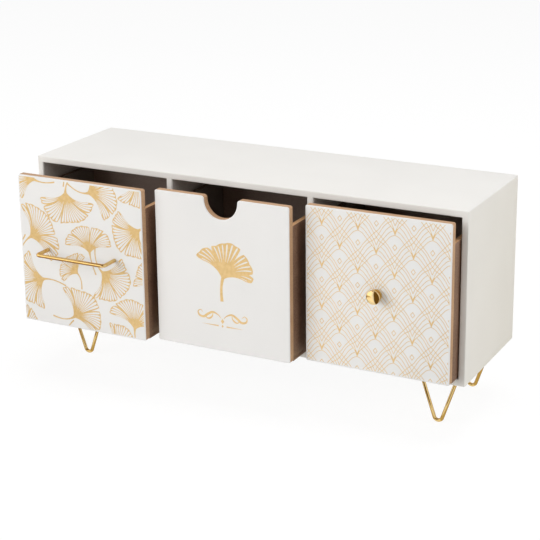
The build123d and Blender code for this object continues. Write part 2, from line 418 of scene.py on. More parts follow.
# Clear lacquer keeps the handle paler in the middle and browner towards its rims.
handle_brass = plated("lacquered_brass_plating", "#E2C489", "#EAD096", "#B5803F", 0.1, 0.02)
# The knob is turned and polished: the palest mirror, with a slightly softer picture.
knob_brass = plated("turned_polished_brass", "#E6CC96", "#EED7A4", "#C08E4C", 0.11, 0.02)
# Plating on rolled plate isn't polished, so it shines broadly and mirrors nothing.
plate_brass = plated("rolled_brass_plating", "#C9994A", "#D6A857", "#C08E4C", 0.3, 0.05)
# Zinc on nuts and screws is a cool grey with a dull shine.
zinc = plated("bright_zinc_plating", "#A9ABA8", "#C2C4C2", "#C8CAC8", 0.34, 0.05)
for metal in (wire_brass, handle_brass, knob_brass, plate_brass, zinc):
    print("metal:", metal.name)

# %% Gold ink
def gold_ink(name, dark_hex, light_hex):
    material, tree = new_material(name)
    tones = add_node(
        tree, "ShaderNodeValToRGB", {"Fac": object_noise(tree, 2.5)},
        zip(NOISE_RANGE, (dark_hex, light_hex)))
    shader = add_node(tree, "ShaderNodeBsdfPrincipled", {
        "Base Color": tones.outputs["Color"],
        "Metallic": 0.25,
        "Roughness": 0.38,
    })
    add_node(tree, "ShaderNodeOutputMaterial", {"Surface": shader.outputs[0]})
    return material


# Ink with brass powder in it is a flat ochre to the eye, with a faint metal sheen.
print_gold = gold_ink("screen_printed_gold_ink", "#DAB97F", "#E6C891")
print("ink:", print_gold.name)

# %% [markdown]
# ## Modelling helpers
#
# A board starts as a cube at its real place. Edges and faces are then selected in code,
# by their place or their direction, and shaped with the same operators that a person
# would use in edit mode. After loading, the construction pieces are still selected, so
# each helper first deselects everything.

# %% Blocks, selections, bevels and cuts
TINY = 0.02 * MM


def alone(piece):
    bpy.ops.object.select_all(action="DESELECT")
    bpy.context.view_layer.objects.active = piece
    piece.select_set(True)


def edited(piece):
    """Opens the piece in edit mode, with all of it selected."""
    alone(piece)
    bpy.ops.object.mode_set(mode="EDIT")
    bpy.ops.mesh.select_all(action="SELECT")


def closed():
    """Turns every face outwards and leaves edit mode."""
    bpy.ops.mesh.select_all(action="SELECT")
    bpy.ops.mesh.normals_make_consistent(inside=False)
    bpy.ops.object.mode_set(mode="OBJECT")


def block(name, low, high):
    bpy.ops.object.select_all(action="DESELECT")
    bpy.ops.mesh.primitive_cube_add(size=1, location=(low + high) / 2)
    piece = bpy.context.object
    piece.name = name
    piece.data.name = name
    piece.scale = high - low
    bpy.ops.object.transform_apply(location=True, rotation=True, scale=True)
    return piece


def choose(piece, kind, test):
    alone(piece)
    bpy.ops.object.mode_set(mode="EDIT")
    bpy.ops.mesh.select_mode(type=kind)
    bpy.ops.mesh.select_all(action="DESELECT")
    mesh = bmesh.from_edit_mesh(piece.data)
    items = mesh.edges if kind == "EDGE" else mesh.faces
    chosen = [item for item in items if test(item)]
    for item in chosen:
        item.select_set(True)
    mesh.select_flush_mode()
    bmesh.update_edit_mesh(piece.data)
    return len(chosen)


def bevel_edges(piece, test, width_mm, segments):
    count = choose(piece, "EDGE", test)
    bpy.ops.mesh.bevel(offset=width_mm * MM, segments=segments, affect="EDGES")
    bpy.ops.object.mode_set(mode="OBJECT")
    return count


def cut(piece, cutter, operation):
    alone(piece)
    bpy.ops.object.modifier_add(type="BOOLEAN")
    modifier = piece.modifiers[-1]
    modifier.operation = operation
    modifier.solver = "EXACT"
    modifier.object = cutter
    bpy.ops.object.modifier_apply(modifier=modifier.name)
    bpy.data.objects.remove(cutter)


def copied(piece, name):
    alone(piece)
    bpy.ops.object.duplicate(linked=False)
    copy = bpy.context.object
    copy.name = name
    copy.data.name = name
    return copy


def smooth(piece, degrees=32):
    alone(piece)
    bpy.ops.object.shade_smooth_by_angle(angle=radians(degrees))


def along(edge, axis):
    run = edge.verts[1].co - edge.verts[0].co
    return run.length > TINY and abs(run[axis]) > 0.999 * run.length


def middle(edge):
    return (edge.verts[0].co + edge.verts[1].co) / 2


def dress(piece, materials, pick=None):
    piece.data.materials.clear()
    for material in materials:
        piece.data.materials.append(material)
    for face in piece.data.polygons:
        face.material_index = pick(face) if pick else 0


def put(piece, node, body):
    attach(piece, body)
    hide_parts(node)


print("helpers ready")

# %% [markdown]
# ## The cabinet
#
# The cabinet is seven boards, glued, filled and then painted as one, so no joint shows
# outside. It is therefore modelled as one block: planes cut lines where the boards meet
# the bays, the three bay faces are pushed in to the back board, and the edges are
# rounded as the paint rounds them. Only then is the form sawn into its seven boards,
# each by the box of its own construction piece, so that the easing runs across them.

# %% One eased form
low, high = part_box("cabinet_top")
bottom_low, bottom_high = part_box("cabinet_bottom")
back_low, back_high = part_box("cabinet_back")
outer_low = Vector((low.x, low.y, bottom_low.z))
outer_high = high.copy()
bay_floor = bottom_high.z
bay_ceiling = low.z
bay_walls = [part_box("cabinet_left_end")[1].x]
for divider in ("cabinet_left_divider", "cabinet_right_divider"):
    bay_walls += [side.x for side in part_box(divider)]
bay_walls.append(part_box("cabinet_right_end")[0].x)
bay_spans = list(zip(bay_walls[0::2], bay_walls[1::2]))

carcass = block("carcass", outer_low, outer_high)
lines = [(Vector((x, 0, 0)), (1, 0, 0)) for x in bay_walls]
lines += [(Vector((0, 0, z)), (0, 0, 1)) for z in (bay_floor, bay_ceiling)]
for point, normal in lines:
    edited(carcass)
    bpy.ops.mesh.bisect(plane_co=point, plane_no=normal)
    bpy.ops.object.mode_set(mode="OBJECT")


def is_bay_face(face):
    spot = face.calc_center_median()
    if face.normal.y > -0.9 or not bay_floor < spot.z < bay_ceiling:
        return False
    return any(a < spot.x < b for a, b in bay_spans)


bays = choose(carcass, "FACE", is_bay_face)
bpy.ops.mesh.extrude_region_move(
    TRANSFORM_OT_translate={"value": (0, back_low.y - outer_low.y, 0)})
bpy.ops.object.mode_set(mode="OBJECT")
print("bays pushed in:", bays)

# %% Rounded edges
OUTER_EASE = 0.8
OPENING_EASE = 1.1


def on_outer_edge(edge):
    spot = middle(edge)
    sides = 0
    for axis in range(3):
        if min(abs(spot[axis] - outer_low[axis]), abs(spot[axis] - outer_high[axis])) < TINY:
            sides += 1
    return sides >= 2


def on_opening_edge(edge):
    spot = middle(edge)
    if abs(spot.y - outer_low.y) > TINY or on_outer_edge(edge):
        return False
    inside_z = bay_floor - TINY < spot.z < bay_ceiling + TINY
    at_wall = any(abs(spot.x - x) < TINY for x in bay_walls)
    at_level = abs(spot.z - bay_floor) < TINY or abs(spot.z - bay_ceiling) < TINY
    in_bay = any(a - TINY < spot.x < b + TINY for a, b in bay_spans)
    return (along(edge, 2) and at_wall and inside_z) or (along(edge, 0) and at_level and in_bay)


openings = bevel_edges(carcass, on_opening_edge, OPENING_EASE, 4)
corners = bevel_edges(carcass, on_outer_edge, OUTER_EASE, 4)
print("edges rounded:", openings, "round the bays and", corners, "outside")

# %% Seven boards
CABINET_NODES = (
    "cabinet_top", "cabinet_bottom", "cabinet_left_end", "cabinet_right_end",
    "cabinet_left_divider", "cabinet_right_divider", "cabinet_back",
)


# Faces inside the bays, behind the eased opening, take the bay wall's skin, toned for their
# shade.
def cabinet_finish(face):
    spot = face.center
    inside = (
        bay_floor - TINY <= spot.z <= bay_ceiling + TINY
        and bay_walls[0] - TINY <= spot.x <= bay_walls[-1] + TINY
        and outer_low.y + OPENING_EASE * MM + TINY < spot.y < back_high.y - TINY
    )
    return 1 if inside else 0


for node in CABINET_NODES:
    board = copied(carcass, node + "_painted")
    cut(board, block("saw", *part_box(node)), "INTERSECT")
    dress(board, [cabinet_paint, bay_wall_toned_for_shade], cabinet_finish)
    smooth(board)
    put(board, node, "cabinet")
    print(node, len(board.data.polygons), "faces")
bpy.data.objects.remove(carcass)

# %% [markdown]
# ## Drawer fronts
#
# A front is a sawn board whose corners are rounded, painted on its face, with the paint
# pulled round the front edge. Behind that edge the saw's brown cut stays bare. The
# middle front has a finger notch, made as a joiner makes it: a round cutter, then a
# straight one above it, then the two sharp shoulders taken off.

# %% Fronts
FRONT_CORNER = 1.5
FRONT_EASE = 0.7
NOTCH_WIDTH = 29.0
NOTCH_DEPTH = 17.2
NOTCH_SHOULDER = 2.6
ROD_SIDES = 96
DRAWERS = ("left", "middle", "right")


def level_rod(name, centre, radius_mm, low_y, high_y):
    bpy.ops.object.select_all(action="DESELECT")
    bpy.ops.mesh.primitive_cylinder_add(
        vertices=ROD_SIDES, radius=radius_mm * MM, depth=high_y - low_y,
        location=(centre[0], (low_y + high_y) / 2, centre[1]), rotation=(pi / 2, 0, 0))
    rod = bpy.context.object
    rod.name = name
    bpy.ops.object.transform_apply(location=True, rotation=True, scale=True)
    return rod


def cut_notch(front, low, high):
    x = (low.x + high.x) / 2
    round_z = high.z - (NOTCH_DEPTH - NOTCH_WIDTH / 2) * MM
    reach = 2 * MM
    cutter = level_rod(
        "round_cutter", (x, round_z), NOTCH_WIDTH / 2, low.y - reach, high.y + reach)
    cut(front, cutter, "DIFFERENCE")
    half = NOTCH_WIDTH / 2 * MM
    slot_low = Vector((x - half, low.y - reach, round_z))
    slot_high = Vector((x + half, high.y + reach, high.z + reach))
    cut(front, block("straight_cutter", slot_low, slot_high), "DIFFERENCE")

    def shoulder(edge):
        spot = middle(edge)
        at_top = abs(spot.z - high.z) < TINY
        return along(edge, 1) and at_top and abs(abs(spot.x - x) - half) < TINY

    return bevel_edges(front, shoulder, NOTCH_SHOULDER, 8)


def drawer_front(name):
    node = name + "_drawer_front"
    low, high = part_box(node)
    front = block(node + "_painted", low, high)
    bevel_edges(front, lambda edge: along(edge, 1), FRONT_CORNER, 8)
    if name == "middle":
        print("shoulders rounded:", cut_notch(front, low, high))

    def face_loop(edge):
        flat = all(abs(corner.co.y - low.y) < TINY for corner in edge.verts)
        return flat and any(face.normal.y > -0.5 for face in edge.link_faces)

    loop = bevel_edges(front, face_loop, FRONT_EASE, 5)
    painted_to = low.y + FRONT_EASE * MM + TINY
    dress(front, [front_paint, front_edge], lambda face: 0 if face.center.y < painted_to else 1)
    smooth(front)
    print(node, "loop of", loop, "edges eased")
    return front, low, high


fronts = {}
for name in DRAWERS:
    fronts[name] = drawer_front(name)
    put(fronts[name][0], name + "_drawer_front", name + "_drawer")

# %% [markdown]
# ## Drawer boxes
#
# Behind each front is a plain box of thin fibreboard: two sides, a back and a floor.
# Nobody painted or rounded them, and the saw leaves a hairline chamfer. The two broad
# faces keep their skin, the inner one as a greyer copy: a painted shade tone that keeps
# the inside of a drawer a neutral dark. The narrow faces are the sawn ones. Only the
# right-hand sides show a pale line on top; the other boards' edges get the brown skin,
# painted shade for edges that lie in shade.

# %% Drawer boards
SAW_CHAMFER = 0.25
# Each board's inward direction, the skin of its inner face, and its edges. The floor, the
# left side and the back get the brown skin on their sawn edges too: painted shade for
# edges that lie in shade.
BOX_BOARDS = {
    "floor": (Vector((0, 0, 1)), inner_skin_toned_for_shade, board_skin),
    "left_side": (Vector((1, 0, 0)), inner_skin_toned_for_shade, board_skin),
    "right_side": (Vector((-1, 0, 0)), inner_skin_toned_for_shade, board_edge),
    "back": (Vector((0, -1, 0)), back_skin_toned_for_shade, board_skin),
}


def plain_board(node, inward, inside, edge):
    low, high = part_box(node)
    piece = block(node + "_board", low, high)
    bevel_edges(piece, lambda edge: True, SAW_CHAMFER, 2)
    thin = min(range(3), key=lambda axis: high[axis] - low[axis])

    def finish(face):
        if abs(face.normal[thin]) < 0.9:
            return 2
        return 1 if face.normal.dot(inward) > 0 else 0

    dress(piece, [board_skin, inside, edge], finish)
    smooth(piece)
    return piece


for name in DRAWERS:
    for part, (inward, inside, edge) in BOX_BOARDS.items():
        node = f"{name}_drawer_{part}"
        put(plain_board(node, inward, inside, edge), node, name + "_drawer")
print("drawer boards made:", len(BOX_BOARDS) * len(DRAWERS))

# %% [markdown]
# ## Bent wire
#
# The legs and the bar handle are wire, bent cold over a small pin. A ring of the wire's
# section is set at one end, extruded along the first straight run, spun round the pin
# and extruded again, which is just how the bending machine makes them. A leg is then
# cut off flush with its plate.

# %% A wire bender
WIRE_SIDES = 40
BEND_STEPS = 12


def wire_start(name, place, direction, radius):
    bpy.ops.object.select_all(action="DESELECT")
    bpy.ops.mesh.primitive_circle_add(vertices=WIRE_SIDES, radius=radius, fill_type="NOTHING")
    wire = bpy.context.object
    wire.name = name
    wire.data.name = name
    wire.rotation_mode = "QUATERNION"
    wire.rotation_quaternion = direction.to_track_quat("Z", "Y")
    wire.location = place
    bpy.ops.object.transform_apply(location=True, rotation=True, scale=True)
    edited(wire)
    return wire


def wire_run(step):
    bpy.ops.mesh.extrude_region_move(TRANSFORM_OT_translate={"value": step})


def wire_bend(centre, axis, angle):
    bpy.ops.mesh.spin(steps=BEND_STEPS, angle=-angle, center=centre, axis=axis)


def wire_end():
    bpy.ops.mesh.select_all(action="SELECT")
    bpy.ops.mesh.remove_doubles(threshold=0.001 * MM)
    bpy.ops.mesh.select_all(action="DESELECT")
    bpy.ops.mesh.select_mode(type="EDGE")
    bpy.ops.mesh.select_non_manifold()
    bpy.ops.mesh.fill()
    closed()


def bent_wire(name, corners, radius, bend_radius):
    """Straight runs between the corners, with a bend of bend_radius at each inner corner."""
    runs = [b - a for a, b in zip(corners, corners[1:])]
    spots = [corners[0]]
    bends = []
    for corner, before, after in zip(corners[1:-1], runs, runs[1:]):
        turn = before.angle(after)
        back_off = bend_radius * tan(turn / 2)
        first = corner - before.normalized() * back_off
        last = corner + after.normalized() * back_off
        axis = before.cross(after).normalized()
        centre = first + axis.cross(before.normalized()) * bend_radius
        spots += [first, last]
        bends.append((centre, axis, turn))
    spots.append(corners[-1])
    wire = wire_start(name, spots[0], runs[0], radius)
    for index in range(0, len(spots), 2):
        wire_run(spots[index + 1] - spots[index])
        if index // 2 < len(bends):
            wire_bend(*bends[index // 2])
    wire_end()
    return wire


print("the bender uses", WIRE_SIDES, "sides and", BEND_STEPS, "steps to a bend")

# %% Four legs
LEG_WIRE = 2.8 * MM
LEG_HALF_ANGLE = radians(18.7)
LEG_BEND = 3.4 * MM
LEGS = ("front_left", "front_right", "rear_left", "rear_right")


def leg(place):
    node = "leg_wire_" + place
    low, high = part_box(node)
    x = (low.x + high.x) / 2
    y = (low.y + high.y) / 2
    corner_z = LEG_WIRE / 2 - LEG_BEND * (1 / sin(LEG_HALF_ANGLE) - 1)
    top = high.z + LEG_WIRE
    spread = (top - corner_z) * tan(LEG_HALF_ANGLE)
    corners = [
        Vector((x - spread, y, top)), Vector((x, y, corner_z)), Vector((x + spread, y, top))]
    wire = bent_wire(node + "_bent", corners, LEG_WIRE / 2, LEG_BEND)
    edited(wire)
    bpy.ops.mesh.bisect(
        plane_co=(0, 0, high.z), plane_no=(0, 0, 1), clear_outer=True, use_fill=True)
    bpy.ops.object.mode_set(mode="OBJECT")
    smooth(wire)
    dress(wire, [wire_brass])
    put(wire, node, "cabinet")
    wire_low, wire_high = Vector(wire.bound_box[0]), Vector(wire.bound_box[6])
    return max((wire_low - low).length, (wire_high - high).length)


print("legs differ from their boxes by", [round(leg(place) / MM, 3) for place in LEGS], "mm")

# %% Bar handle
HANDLE_WIRE = 3.0 * MM
HANDLE_BEND = 2.5 * MM
low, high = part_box("bar_handle")
half = HANDLE_WIRE / 2
level = (low.z + high.z) / 2
handle_corners = [
    Vector((low.x + half, high.y, level)),
    Vector((low.x + half, low.y + half, level)),
    Vector((high.x - half, low.y + half, level)),
    Vector((high.x - half, high.y, level)),
]
handle = bent_wire("bar_handle_bent", handle_corners, half, HANDLE_BEND)
smooth(handle)
dress(handle, [handle_brass])
put(handle, "bar_handle", "left_drawer")
print("handle faces:", len(handle.data.polygons))

# %% [markdown]
# ## The turned knob
#
# A knob like this comes off a lathe: a base, a thin neck and a flared cap with a gently
# domed face. It is modelled as a turner thinks of it, ring after ring along the axis:
# each ring is extruded from the last and scaled to its radius.

# %% Knob
KNOB_SIDES = 96
BASE_RADIUS = 4.5
BASE_LENGTH = 1.2
NECK_RADIUS = 2.5
CAP_RADIUS = 5.6
CAP_RIM = 1.2
CAP_FLARE = 1.6
DOME = 1.7
TURNED_EDGE = 0.25
DOME_RINGS = 14


def turned(name, centre, rings):
    """Rings of (radius, distance along -Y) in millimetres, from the wall outwards."""
    bpy.ops.object.select_all(action="DESELECT")
    radius, reach = rings[0]
    bpy.ops.mesh.primitive_circle_add(
        vertices=KNOB_SIDES, radius=radius * MM, fill_type="NGON",
        location=centre - Vector((0, reach * MM, 0)), rotation=(pi / 2, 0, 0))
    piece = bpy.context.object
    piece.name = name
    piece.data.name = name
    bpy.ops.object.transform_apply(location=True, rotation=True, scale=True)
    bpy.ops.object.mode_set(mode="EDIT")
    bpy.ops.mesh.select_mode(type="FACE")
    bpy.ops.mesh.select_all(action="SELECT")
    for new_radius, new_reach in rings[1:]:
        step = (0, -(new_reach - reach) * MM, 0)
        bpy.ops.mesh.extrude_region_move(TRANSFORM_OT_translate={"value": step})
        share = new_radius / radius
        bpy.ops.transform.resize(
            value=(share, 1, share), center_override=centre - Vector((0, new_reach * MM, 0)))
        radius, reach = new_radius, new_reach
    closed()
    return piece


def quarter(radius_mm, reach_mm, size, steps=4):
    """A rounded outer edge that leaves the side at the given radius, going outwards."""
    return [
        (radius_mm - size + size * cos(a), reach_mm + size * sin(a))
        for a in (pi / 2 * step / steps for step in range(steps + 1))
    ]


low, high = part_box("knob")
knob_length = (high.y - low.y) / MM
rim_level = knob_length - DOME
dome_radius = (CAP_RADIUS ** 2 + DOME ** 2) / (2 * DOME)
rings = [(BASE_RADIUS, 0)]
rings += quarter(BASE_RADIUS, BASE_LENGTH - TURNED_EDGE, TURNED_EDGE)
rings += [(NECK_RADIUS, BASE_LENGTH), (NECK_RADIUS, rim_level - CAP_RIM - CAP_FLARE)]
rings += [(CAP_RADIUS, rim_level - CAP_RIM)]
rings += [(CAP_RADIUS, rim_level - TURNED_EDGE)]
for ring in range(DOME_RINGS):
    radius = (CAP_RADIUS - TURNED_EDGE) * cos(pi / 2 * ring / DOME_RINGS)
    rise = sqrt(dome_radius ** 2 - radius ** 2) - dome_radius + knob_length
    rings.append((radius, rise))
centre = Vector(((low.x + high.x) / 2, high.y, (low.z + high.z) / 2))
knob = turned("knob_turned", centre, rings)
smooth(knob, degrees=40)
dress(knob, [knob_brass])
put(knob, "knob", "right_drawer")
print("knob rings:", len(rings))

# %% [markdown]
# ## Plates, screws and nuts
#
# These small pieces sit out of sight under the cabinet and inside the drawers. Their
# construction pieces have the right shape already, with countersinks and cross
# recesses, so they stay and only get their plating.

# %% Hidden hardware
HARDWARE = {"leg_screws": plate_brass, "handle_nuts": zinc, "knob_screw": zinc}
for place in LEGS:
    HARDWARE["leg_plate_" + place] = plate_brass
for node, material in HARDWARE.items():
    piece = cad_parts[node]
    piece.data.materials.clear()
    piece.data.materials.append(material)
print("plated:", ", ".join(HARDWARE))

# %% [markdown]
# ## Gold prints
#
# The faces are screen printed in gold before the chest is put together. Ink lies on the
# paint as a film a few hundredths of a millimetre thick, with crisp edges, so it is
# made as real geometry and not as a picture. Each drawing is a set of flat shapes, in
# millimetres from the middle of its drawer front. A triangulation joins the shapes that
# overlap, drops what a gap takes away and trims the rest to the printed field, and one
# extrusion then gives the film its thickness.

# %% From flat shapes to a film of ink
INK_THICKNESS = 0.05
FIELD_MARGIN = 1.2
FIELD_CORNER = 1.4


def ribbon(points, widths):
    """The outline of a brush stroke along the points, with its own width at each."""
    left, right = [], []
    for index, point in enumerate(points):
        before = points[max(index - 1, 0)]
        after = points[min(index + 1, len(points) - 1)]
        across = (after - before).normalized().orthogonal() * widths[index] / 2
        left.append(point + across)
        right.append(point - across)
    return left + right[::-1]


def counterclockwise(shape):
    area = sum(a.x * b.y - b.x * a.y for a, b in zip(shape, shape[1:] + shape[:1]))
    return shape if area > 0 else shape[::-1]


def printed_field(width, height):
    half_x = width / 2 - FIELD_MARGIN - FIELD_CORNER
    half_y = height / 2 - FIELD_MARGIN - FIELD_CORNER
    corners = (
        (half_x, half_y, 0), (-half_x, half_y, 90),
        (-half_x, -half_y, 180), (half_x, -half_y, 270))
    spots = []
    for x, y, start in corners:
        for turn in (0, 30, 60, 90):
            angle = radians(start + turn)
            spots.append(Vector((x, y)) + FIELD_CORNER * Vector((cos(angle), sin(angle))))
    return spots


def ink_film(drawer, shapes, gaps=()):
    name = drawer + "_drawer_print"
    _, front_low, front_high = fronts[drawer]
    width = (front_high.x - front_low.x) / MM
    height = (front_high.z - front_low.z) / MM
    outlines = [printed_field(width, height)] + list(shapes) + list(gaps)
    first_gap = 1 + len(shapes)
    spots, loops = [], []
    for outline in outlines:
        loops.append(list(range(len(spots), len(spots) + len(outline))))
        spots += counterclockwise(outline)
    made, _, triangles, _, _, sources = delaunay_2d_cdt(spots, [], loops, 1, 1e-5, True)
    inked = [
        triangle for triangle, source in zip(triangles, sources)
        if 0 in source and any(0 < s < first_gap for s in source)
        and not any(s >= first_gap for s in source)
    ]
    middle_x = (front_low.x + front_high.x) / 2
    middle_z = (front_low.z + front_high.z) / 2
    places = [(middle_x + v.x * MM, front_low.y, middle_z + v.y * MM) for v in made]
    mesh = bpy.data.meshes.new(name)
    mesh.from_pydata(places, [], [tuple(triangle) for triangle in inked])
    film = bpy.data.objects.new(name, mesh)
    bpy.context.collection.objects.link(film)
    edited(film)
    bpy.ops.mesh.delete_loose()
    bpy.ops.mesh.select_all(action="SELECT")
    bpy.ops.mesh.extrude_region_move(
        TRANSFORM_OT_translate={"value": (0, -INK_THICKNESS * MM, 0)})
    closed()
    dress(film, [print_gold])
    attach(film, drawer + "_drawer")
    return film


print("points round a printed field:", len(printed_field(117, 125)))

# %% [markdown]
# ### The fan lattice
#
# The right front has an old allover pattern of the fans of the 1920s. Every second
# crossing of a grid is the tip of a fan, where two petals stand, and five arches spring
# from it to either side. They cross the arches of the neighbours, which makes the small
# diamonds. Half of each arch is a smooth line through a few points. The rest is mirror
# and repeat.

# %% Lattice of fans
FAN_STEP = Vector((14.82, 16.71))
LATTICE_LINE = 0.44
ARCHES = (
    ((0, -0.2), (3.8, -2.1), (8.2, -7.1), (12.6, -11.9), (14.82, -16.7)),
    ((1.9, 2.8), (4.5, 1.25), (8, -2.75), (11.4, -7.2), (13.4, -11.5), (14.6, -15.5)),
    ((3.5, 6.3), (7, 3), (9.75, -1), (12.8, -5.4), (14.82, -9.8)),
    ((0, 12.85), (3.2, 9.9), (5.8, 8.5), (9.25, 5), (11.75, 1), (14.82, -3.9)),
    ((0, 17.6), (2.2, 15.6), (5.6, 12.1), (10.5, 6.5), (12.75, 3), (14.82, 0.8)),
)
PETAL = ((0, -0.2), (0.3, 0), (1.0, 2.0), (2.3, 4.8), (1.3, 5.0), (0.6, 4.0), (0, 2.7))
LOZENGE = Vector((1.95, 2.55))
LOZENGE_LINE = 0.6
LOZENGE_LEVEL = Vector((0, -9.8))
FIRST_TIP = Vector((28.45, -30.6))   # from the upper left corner of the front
REPEATS = range(-4, 8)               # past every edge, where the field trims them


def curve_through(points, steps=6):
    """A smooth line through the points, with the direction at each of its neighbours."""
    spots = [Vector(point) for point in points]
    spots = [2 * spots[0] - spots[1]] + spots + [2 * spots[-1] - spots[-2]]
    line = []
    for a, b, c, d in zip(spots, spots[1:], spots[2:], spots[3:]):
        for step in range(steps):
            u = step / steps
            line.append(
                b + (c - a) * u / 2 + (2 * a - 5 * b + 4 * c - d) * u ** 2 / 2
                + (3 * b - 3 * c + d - a) * u ** 3 / 2)
    return line + [spots[-2]]


def mirrored(line):
    return [Vector((-point.x, point.y)) for point in line]


def moved(line, offset):
    return [point + offset for point in line]


def lozenge(half_width, half_height, level=0):
    return [
        Vector((half_width, level)), Vector((0, level + half_height)),
        Vector((-half_width, level)), Vector((0, level - half_height)),
    ]


fan_shapes = []
for points in ARCHES:
    line = curve_through(points)
    for half in (line, mirrored(line)):
        fan_shapes.append(ribbon(half, [LATTICE_LINE] * len(half)))
petal = [Vector(spot) for spot in PETAL]
fan_shapes += [petal, mirrored(petal)]
rim = lozenge(*LOZENGE)
inner = [corner * (1 - LOZENGE_LINE / LOZENGE.x) for corner in rim]
for index in range(4):
    after = (index + 1) % 4
    fan_shapes.append(moved([rim[index], rim[after], inner[after], inner[index]], LOZENGE_LEVEL))

_, low, high = fronts["right"]
corner = Vector((-(high.x - low.x), high.z - low.z)) / (2 * MM)
lattice = []
for column in REPEATS:
    for row in REPEATS:
        if (column + row) % 2 == 0:
            tip = corner + FIRST_TIP + Vector((column * FAN_STEP.x, -row * FAN_STEP.y))
            lattice += [moved(shape, tip) for shape in fan_shapes]
right_print = ink_film("right", lattice)
print("fan lattice:", len(lattice), "strokes,", len(right_print.data.polygons), "faces")

# %% [markdown]
# ### Fan-shaped leaves
#
# A leaf of the maidenhair tree is a fan: veins spread from the stalk to a wavy rim with
# a cleft in it. The print shows it as a paper cut would: the whole leaf is inked, and a
# slit of bare paint lies between each two veins. So the veins grow together towards the
# stalk by themselves, and the rim is closed. One set of functions draws every leaf, from
# its size, its waves, its clefts and the width of its slits.

# %% The form of a leaf
FAN_HALF_ANGLE = radians(80)
NECK_SHARE = 0.34            # how far the fan has opened at the stalk
FAN_POWER = 0.8              # below 1, it opens fastest there
SIDE_STEPS = 14
RIM_STEPS = 6                # to each slit
WAVE = 0.05                  # height of the rim's waves
WAVE_RUN = 4.6               # how fast they follow each other
RIPPLE_RUN = 9.0             # and how fast the ripples on them do
RIM_SAG = 0.08               # how much shorter the sides are than the middle
SCALLOP = 0.022              # height of the small arcs between two veins
CLEFT_REACH = 0.9            # half the width of a cleft, in slits
ROUNDED = 0.12               # the last share of each side, where the rim rounds off
ROUND_DROP = 0.22
SLIT_STEPS = 30
SLIT_END = 0.12              # share of the leaf over which a slit's end rounds off
END_WIDTH = 0.65             # what is left of its width there
SOLID_SPREAD = (0.6, 1.5)    # how much the solid part differs from slit to slit
SOLID_FALL = 2.2             # and how fast it ends towards the rim
SLIT_TIP = 0.3               # how far a slit's tip stands in the inked band of the rim
LEAST_SLIT = 0.12            # mm, narrower slits fill with ink
STALK_START = 0.1            # share of the leaf where the stalk begins
NECK_FIT = 1.96              # a stalk just narrower than the leaf at its start
STALK_FADE = 7.0             # how fast it thins beyond the leaf
FOOT_POWER = 3               # how late it widens again towards its foot
BEND_POWER = 1.6             # above 1, it bends most near the leaf


def fan_opening(reach, size):
    return FAN_HALF_ANGLE * (NECK_SHARE + (1 - NECK_SHARE) * (reach / size) ** FAN_POWER)


def leaf_spot(t, reach, size):
    """A point of an upright leaf: t runs from its left side, -1, to its right side, 1."""
    turn = t * fan_opening(reach, size)
    return Vector((sin(turn), cos(turn))) * reach


def leaf_rim(t, leaf):
    reach = leaf["size"] * (1 - RIM_SAG * t * t)
    phase = leaf["phase"]
    reach *= 1 + WAVE * sin(WAVE_RUN * t + phase) + WAVE / 2 * sin(RIPPLE_RUN * t + 2 * phase)
    reach *= 1 + SCALLOP * abs(sin(pi * leaf["slits"] * (t + 1) / 4))
    for slit, depth in leaf["clefts"]:
        away = abs(t + 1 - (2 * slit + 1) / leaf["slits"]) * leaf["slits"]
        reach *= 1 - depth * max(0.0, 1 - away / CLEFT_REACH)
    round_off = max(0.0, (abs(t) - (1 - ROUNDED)) / ROUNDED)
    return reach * (1 - ROUND_DROP * round_off ** 2)


def leaf_outline(leaf):
    size = leaf["size"]
    side, other = [
        [leaf_spot(t, leaf_rim(t, leaf) * step / SIDE_STEPS, size) for step in range(SIDE_STEPS)]
        for t in (-1, 1)
    ]
    rim_steps = RIM_STEPS * leaf["slits"]
    rim = []
    for step in range(rim_steps + 1):
        t = -1 + 2 * step / rim_steps
        rim.append(leaf_spot(t, leaf_rim(t, leaf), size))
    return side + rim + other[:0:-1]


def leaf_slits(leaf, chance):
    size = leaf["size"]
    slits = []
    for slit in range(leaf["slits"]):
        solid = leaf["solid"] * chance.uniform(*SOLID_SPREAD)
        if slit in [cleft for cleft, depth in leaf["clefts"]]:
            continue
        t = -1 + (2 * slit + 1) / leaf["slits"]
        beside = 0.5 / leaf["slits"]
        end = min(leaf_rim(t + side * beside, leaf) for side in (-1, 0, 1)) - leaf["band"]
        left, right = [], []
        for step in range(1, SLIT_STEPS + 1):
            reach = end * step / SLIT_STEPS
            arc = fan_opening(reach, size) * reach
            width = leaf["open"] * 2 / leaf["slits"] * arc
            width -= solid * max(0.0, 1 - reach / size) ** SOLID_FALL
            rounding = min(1.0, max(0.0, (end - reach) / (SLIT_END * size)))
            width *= END_WIDTH + (1 - END_WIDTH) * sqrt(1 - (1 - rounding) ** 2)
            if width > LEAST_SLIT:
                left.append(leaf_spot(t - width / 2 / arc, reach, size))
                right.append(leaf_spot(t + width / 2 / arc, reach, size))
        if len(left) > 3:
            top = leaf_spot(t, end + SLIT_TIP * leaf["band"], size)
            slits.append(left[::3] + [left[-1], top, right[-1]] + right[::3][::-1])
    return slits


def leaf_stalk(leaf, steps=18):
    """The middle line of the stalk and its widths, from within the leaf to its foot."""
    start = STALK_START * leaf["size"]
    root = NECK_FIT * leaf_spot(1, start, leaf["size"]).x
    point = Vector((0, start))
    line, widths = [], []
    for step in range(steps + 1):
        share = step / steps
        line.append(point.copy())
        flare = (root - leaf["thin"]) * exp(-STALK_FADE * share)
        widths.append(leaf["thin"] + flare + (leaf["foot"] - leaf["thin"]) * share ** FOOT_POWER)
        turn = pi + leaf["bend"] * (1 - (1 - share) ** BEND_POWER)
        point = point + Vector((sin(turn), cos(turn))) * (leaf["stalk"] + start) / steps
    return line, widths


